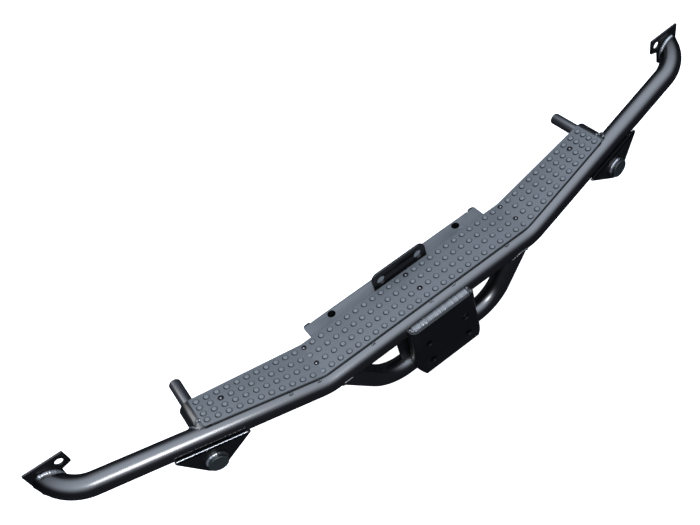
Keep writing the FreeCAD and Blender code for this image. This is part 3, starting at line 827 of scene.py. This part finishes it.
def gusset_welds(mats: Dict[Slot, bpy.types.Material]) -> None:
    """The seams along the gussets and round the jacking tubes, with painted shade on the root beads, a painted
    highlight on the seam and on an arc of each ring, and painted shade on the rest of each ring.
    """
    xs = np.linspace(GUSSET_IN_X + 5, GUSSET_OUT_X - 3, 40)
    root = np.array([gusset_point(x, GUSSET_TOP - 1.0, GUSSET_REAR - 3.5) for x in xs])
    seam = np.array([gusset_point(x, GUSSET_TOP + 2.6, GUSSET_REAR - 0.9) for x in xs])
    piece = Piece.empty("weld_gussets")
    for seed, path in ((7, root), (8, mirrored(root))):
        ripple_bead(piece, path, 4.6, 9.0, seed, up=(0, -1, 0.5), depth=0.1)
    obj = piece.build(Slot.PLATE, mats, ["gusset_beads"], sharp=60)
    # Painted shade: the root beads between gusset and tube are darkened in colour and reflection.
    set_painted_light(obj, np.ones(piece.count()))
    piece = Piece.empty("weld_gusset_seam")
    ripple_bead(piece, mirrored(seam), 1.5, 11.0, 17, up=(0, -1, 0.5), depth=0.5)
    obj = piece.build(Slot.WELD, mats, sharp=60)
    # Painted highlight along the gusset's top seam.
    set_painted_light(obj, np.full(piece.count(), -2.5))
    piece = Piece.empty("weld_bosses")
    cos = 1.0 / math.hypot(1.0, SWEEP)
    along, back = np.array([cos, SWEEP * cos, 0.0]), np.array([SWEEP * cos, -cos, 0.0])
    at = gusset_point(BOSS_X, 0.0, GUSSET_REAR + 0.6)
    at[2] = BOSS_Z
    a = np.linspace(0, 2 * np.pi, 61)
    ring = at + (BOSS_R + 1.4) * (np.cos(a)[:, None] * along + np.sin(a)[:, None] * np.array([0, 0, 1.0]))
    for seed, path in ((9, ring), (10, mirrored(ring))):
        ripple_bead(piece, path, 4.1, 8.0, seed, up=tuple(back), depth=0.15)
    obj = piece.build(Slot.WELD, mats, ["boss_beads"], sharp=60)
    # Painted highlight on one arc of each ring, painted shade on the rest.
    around = np.linspace(0, 2 * np.pi, piece.count() // 40).repeat(20)
    turned = np.concatenate([around, np.pi - around])
    set_painted_light(obj, np.where(np.cos(turned - BOSS_HIGHLIGHT_AT) > 0.6, -1.6, 0.6))


def jack_tubes(mats: Dict[Slot, bpy.types.Material]) -> None:
    """Turned jacking tubes, each with a rimmed cap on its rear end."""
    cos = 1.0 / math.hypot(1.0, SWEEP)
    along, back, up = np.array([cos, SWEEP * cos, 0.0]), np.array([SWEEP * cos, -cos, 0.0]), np.array([0, 0, 1.0])
    face = gusset_point(BOSS_X, 0.0, GUSSET_REAR + BOSS_PROUD)
    face[2] = BOSS_Z
    wall = 4.0
    tube = ((BOSS_R - wall, -BOSS_LEN), (BOSS_R, -BOSS_LEN), (BOSS_R, 0.0), (BOSS_R - wall, 0.0))
    cap = ((3.0, -7.5), (16.4, -7.8), (16.9, -7.3), (16.9, 0.05), (21.6, 0.05), (22.6, 0.25), (CAP_R, 0.8), (CAP_R, 2.4),
           (22.6, 3.1), (21.9, 3.45), (20.9, CAP_T), (19.9, 3.3), (19.3, 2.9), (18.5, 2.75), (9.0, 2.7), (2.0, 2.7))
    for name, side, node in (("right", 1, "right"), ("left", -1, "left")):
        body = Piece.empty("jack_body_" + name)
        rings = revolve(face, along, up, back, tube, 56)
        body.rings(rings if side > 0 else mirrored(rings)[:, ::-1], closed=True)
        body.build(Slot.TUBE, mats, ["jack_tube_" + node], sharp=45)
        lid = Piece.empty("cap_" + name)
        rings = revolve(face, along, up, back, cap, 56)
        lid.rings(rings if side > 0 else mirrored(rings)[:, ::-1], cap_start=True, cap_end=True)
        lid.build(Slot.CAP, mats, ["tube_cap_" + node], sharp=40)


def sleeves(mats: Dict[Slot, bpy.types.Material]) -> None:
    """The cross sleeves under the tread's ends and the chassis pins in them."""
    along, up, forward = np.array([1.0, 0, 0]), np.array([0, 0, 1.0]), np.array([0, 1.0, 0])
    start = SWEEP * (SLEEVE_X - BEND_X)
    foot = np.array([SLEEVE_X, start, SLEEVE_Z])
    deep = SLEEVE_FRONT - start
    soft = 1.2
    shell = ((SLEEVE_R, 0.0), (SLEEVE_R, deep - soft), (SLEEVE_R - soft * 0.3, deep - soft * 0.3), (SLEEVE_R - soft, deep),
             (PIN_R - 2.2, deep), (PIN_R - 2.2, 0.0))
    tip = PIN_TIP - start
    pin = ((PIN_R - 2.5, 40.0), (PIN_R - 2.5, deep - 0.5), (PIN_R, deep), (PIN_R, tip - 3.6), (PIN_R - 0.35, tip - 2.4),
           (PIN_R - 1.2, tip - 1.1), (PIN_R - 2.4, tip - 0.3), (PIN_R - 3.8, tip), (2.0, tip))
    for name, side in (("right", 1), ("left", -1)):
        for kind, profile, slot, node in (("sleeve_", shell, Slot.TUBE, "cross_sleeve_"), ("pin_", pin, Slot.PIN, "chassis_pin_")):
            piece = Piece.empty(kind + name)
            rings = revolve(foot, along, up, forward, profile, 64)[:, ::-1]
            piece.rings(rings if side > 0 else mirrored(rings)[:, ::-1], cap_start=kind == "pin_", cap_end=kind == "pin_",
                        closed=kind == "sleeve_")
            piece.build(slot, mats, [node + name], sharp=40)


STITCHES = ((-387.7, -0.2, 46.6), (-320.2, -5.3, 29.6), (-171.4, -6.8, 25.1), (-2.3, -6.7, 25.1), (65.4, -5.7, 25.4),
            (230.7, -6.2, 25.3))
SLEEVE_BLOBS = ((584.0, 51.5, 97.6), (578.0, 49.0, 98.4), (590.0, 49.0, 96.9), (597.0, 46.0, 93.4))


def small_welds(mats: Dict[Slot, bpy.types.Material]) -> None:
    """Stitches behind the tread, fillets where the sleeves and the hoop meet the tube."""
    piece = Piece.empty("weld_spots")
    for k, at in enumerate(STITCHES):
        for j, dx in enumerate((-3.0, 0.0, 3.0)):
            blob(piece, (at[0] + dx, at[1], at[2] + 0.6 + 0.4 * (j == 1)), 2.5 + 0.5 * (j == 1), 200 + 10 * k + j)
    for s in (-1, 1):
        for k, at in enumerate(SLEEVE_BLOBS):
            blob(piece, (s * at[0], at[1], at[2]), 4.4 - 0.5 * k, 300 + 10 * k + s)
        a = np.linspace(math.radians(-70), math.radians(100), 40)
        foot = axis_at(s * SLEEVE_X)
        ring = []
        for t in a:
            x = s * SLEEVE_X + (SLEEVE_R + 1.0) * math.sin(t) * s
            z = SLEEVE_Z + (SLEEVE_R + 1.0) * math.cos(t)
            core = axis_at(x)
            lift = (z - core[2]) * math.cos(SLOPE)
            if abs(lift) < TUBE_R:
                ring.append((x, core[1] + math.sqrt(TUBE_R ** 2 - lift ** 2) + 1.0, z))
        if len(ring) > 4:
            ripple_bead(piece, np.array(ring), 3.0, 5.0, 330 + s, up=(0, 1, 0.4))
        log.info("fillet at %.0f: %d places from %s", s * SLEEVE_X, len(ring), foot.round(1))
    piece.build(Slot.WELD, mats, sharp=60)
    piece = Piece.empty("weld_hoop")
    lean = math.atan2(HOOP_TOP_X - HOOP_CORNER_X, -HOOP_LOW)
    for s in (-1, 1):
        ring = []
        for t in np.linspace(0, 2 * np.pi, 61):
            side, deep = (HOOP_R + 0.6) * math.cos(t), (HOOP_R + 0.6) * math.sin(t)
            if abs(deep) > TUBE_R - 0.5:
                deep = math.copysign(TUBE_R - 0.5, deep)
            drop = -math.sqrt(TUBE_R ** 2 - deep ** 2) - 0.8
            x = HOOP_TOP_X + side / math.cos(lean) + drop * math.tan(lean)
            ring.append((s * x, deep, drop))
        ripple_bead(piece, np.array(ring), 2.2, 4.6, 350 + s, up=(s, 0, -1), depth=0.05, uneven=0.03)
    piece.build(Slot.TUBE, mats, sharp=60)


CLEAN_EDGES = ("hitch_lug", "support_plate", "step_pan", "web_plate", "tow_bracket", "gusset_left", "gusset_right",
               "end_plate_left", "end_plate_right")


def dress_nodes(frame: Dict, mats: Dict[Slot, bpy.types.Material]) -> None:
    """Gives each CAD node its material, and the plates softly broken edges.

    Args:
        mats: The materials.
    """
    slots = {p["node"]: Slot(p["material_slot"]) for p in frame["record"]["subparts"]}
    for name, obj in frame["nodes"].items():
        obj.data.materials.clear()
        obj.data.materials.append(mats[slots[name]])
        obj.data.set_sharp_from_angle(angle=math.radians(30))
        if name in CLEAN_EDGES:
            weld = obj.modifiers.new("join", "WELD")
            weld.merge_threshold = 0.00001
            bevel = obj.modifiers.new("edges", "BEVEL")
            bevel.width = 0.0007
            bevel.segments = 2
            bevel.limit_method = "ANGLE"
            bevel.angle_limit = math.radians(40)
            bevel.harden_normals = True
        log.info("%s keeps its shape", name)


def make_camera() -> None:
    """The camera at the photograph's viewing angle."""
    data = bpy.data.cameras.new("camera")
    data.sensor_width = 36.0
    data.lens = FOCAL_PX / PICTURE_PX * data.sensor_width
    data.clip_end = 50.0
    cam = bpy.data.objects.new("camera", data)
    cam.rotation_mode = "QUATERNION"
    cam.location = metres(CAMERA_AT)
    half = 0.5 / FOCAL_PX
    cam.rotation_quaternion = Quaternion(CAMERA_TURN) @ Quaternion((0, 1, 0), half) @ Quaternion((1, 0, 0), half)
    bpy.context.scene.collection.objects.link(cam)
    bpy.context.scene.camera = cam


def make_floor() -> None:
    """A plain white floor: pale to the camera, dark in the gloss of the tubes."""
    mesh = bpy.data.meshes.new("floor")
    z = metres((0, 0, FLOOR_Z))[2]
    s = 14.0
    mesh.from_pydata([(-s, -s, z), (s, -s, z), (s, s, z), (-s, s, z)], [], [(0, 1, 2, 3)])
    floor = bpy.data.objects.new("floor", mesh)
    bpy.context.scene.collection.objects.link(floor)
    mat = bpy.data.materials.new("floor")
    mat.use_nodes = True
    tree = mat.node_tree
    tree.nodes.clear()
    out = tree.nodes.new("ShaderNodeOutputMaterial")
    mix = tree.nodes.new("ShaderNodeMixShader")
    path = tree.nodes.new("ShaderNodeLightPath")
    dark = tree.nodes.new("ShaderNodeBsdfDiffuse")
    dark.inputs["Color"].default_value = (0.03, 0.03, 0.033, 1)
    pale = tree.nodes.new("ShaderNodeBsdfDiffuse")
    pale.inputs["Color"].default_value = (0.8, 0.8, 0.8, 1)
    glow = tree.nodes.new("ShaderNodeEmission")
    glow.inputs["Strength"].default_value = 0.95
    add = tree.nodes.new("ShaderNodeAddShader")
    tree.links.new(pale.outputs[0], add.inputs[0])
    tree.links.new(glow.outputs[0], add.inputs[1])
    tree.links.new(path.outputs["Is Camera Ray"], mix.inputs["Fac"])
    tree.links.new(dark.outputs[0], mix.inputs[1])
    tree.links.new(add.outputs[0], mix.inputs[2])
    tree.links.new(mix.outputs[0], out.inputs["Surface"])
    mesh.materials.append(mat)


SKY = ((0.0, 0.012), (0.21, 0.02), (0.33, 0.055), (0.47, 0.2), (0.6, 0.42), (0.71, 0.62), (0.81, 0.84), (0.9, 0.97),
       (1.0, 1.0))
SKY_STRENGTH = 2.3
SKY_TINT = (0.90, 1.0, 1.17)
SKY_LEAN = math.radians(10)
SKY_SIDES = 0.3


def make_world() -> None:
    """A sky brightest a little behind the zenith and darker towards the horizon; plain white to the camera."""
    world = bpy.data.worlds.new("world")
    world.use_nodes = True
    tree = world.node_tree
    back = tree.nodes["Background"]
    coord = tree.nodes.new("ShaderNodeTexCoord")
    dot = tree.nodes.new("ShaderNodeVectorMath")
    dot.operation = "DOT_PRODUCT"
    dot.inputs[1].default_value = (0.0, -math.sin(SKY_LEAN), math.cos(SKY_LEAN))
    ramp = tree.nodes.new("ShaderNodeValToRGB")
    split = tree.nodes.new("ShaderNodeSeparateXYZ")
    square = tree.nodes.new("ShaderNodeMath")
    square.operation = "MULTIPLY"
    sides = tree.nodes.new("ShaderNodeMath")
    sides.operation = "MULTIPLY_ADD"
    sides.inputs[1].default_value = -SKY_SIDES
    tree.links.new(coord.outputs["Generated"], dot.inputs[0])
    tree.links.new(coord.outputs["Generated"], split.inputs[0])
    tree.links.new(split.outputs["X"], square.inputs[0])
    tree.links.new(split.outputs["X"], square.inputs[1])
    tree.links.new(square.outputs[0], sides.inputs[0])
    tree.links.new(dot.outputs["Value"], sides.inputs[2])
    tree.links.new(sides.outputs[0], ramp.inputs["Fac"])
    tree.links.new(ramp.outputs["Color"], back.inputs["Color"])
    stops = ramp.color_ramp.elements
    while len(stops) < len(SKY):
        stops.new(0.5)
    for stop, (place, value) in zip(stops, SKY):
        stop.position = place
        stop.color = tuple(value * t for t in SKY_TINT) + (1.0,)
    back.inputs["Strength"].default_value = SKY_STRENGTH
    white = tree.nodes.new("ShaderNodeBackground")
    white.inputs["Color"].default_value = (1.0, 1.0, 1.0, 1.0)
    path = tree.nodes.new("ShaderNodeLightPath")
    mix = tree.nodes.new("ShaderNodeMixShader")
    tree.links.new(path.outputs["Is Camera Ray"], mix.inputs["Fac"])
    tree.links.new(back.outputs[0], mix.inputs[1])
    tree.links.new(white.outputs[0], mix.inputs[2])
    tree.links.new(mix.outputs[0], tree.nodes["World Output"].inputs["Surface"])
    bpy.context.scene.world = world


def add_lamp(name: str, at: Sequence[float], aim: Sequence[float], size: float, watts: float,
             size_y: Optional[float] = None, colour: Sequence[float] = (1, 1, 1)) -> None:
    """One soft lamp.

    Args:
        name: Its name.
        at: Place, in millimetres from the tube axis.
        aim: The point it faces, likewise.
        size: Width in metres.
        watts: Power.
        size_y: Height in metres, for an oblong.
        colour: Its colour.
    """
    data = bpy.data.lights.new(name, "AREA")
    data.energy = watts
    data.color = colour
    data.shape = "ELLIPSE" if size_y else "DISK"
    data.size = size
    if size_y:
        data.size_y = size_y
    obj = bpy.data.objects.new(name, data)
    a, b = Vector(metres(at)), Vector(metres(aim))
    obj.location = a
    obj.rotation_mode = "QUATERNION"
    obj.rotation_quaternion = (b - a).to_track_quat("-Z", "Y")
    bpy.context.scene.collection.objects.link(obj)


def make_stage() -> None:
    """Floor, world and lamps."""
    bpy.context.scene.view_settings.view_transform = "Standard"
    make_floor()
    make_world()
    add_lamp("key", (-520, -815, 1090), (-600, 0, 60), 0.6, 9.0)
    add_lamp("side", (-920, 748, 685), (-600, 120, 80), 0.5, 1.25)


def main() -> None:
    """Builds the scene."""
    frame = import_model()
    group = coating_group()
    mats = {slot: make_material(slot, group) for slot in Slot}
    shade_underside(mats[Slot.PAN])
    dress_nodes(frame, mats)
    for make in (main_tube, hoop, tread, screws, bracket_weld, end_welds, gusset_welds, jack_tubes, sleeves,
                 small_welds):
        make(mats)
    make_camera()
    make_stage()


if __name__ == "__main__":
    main()
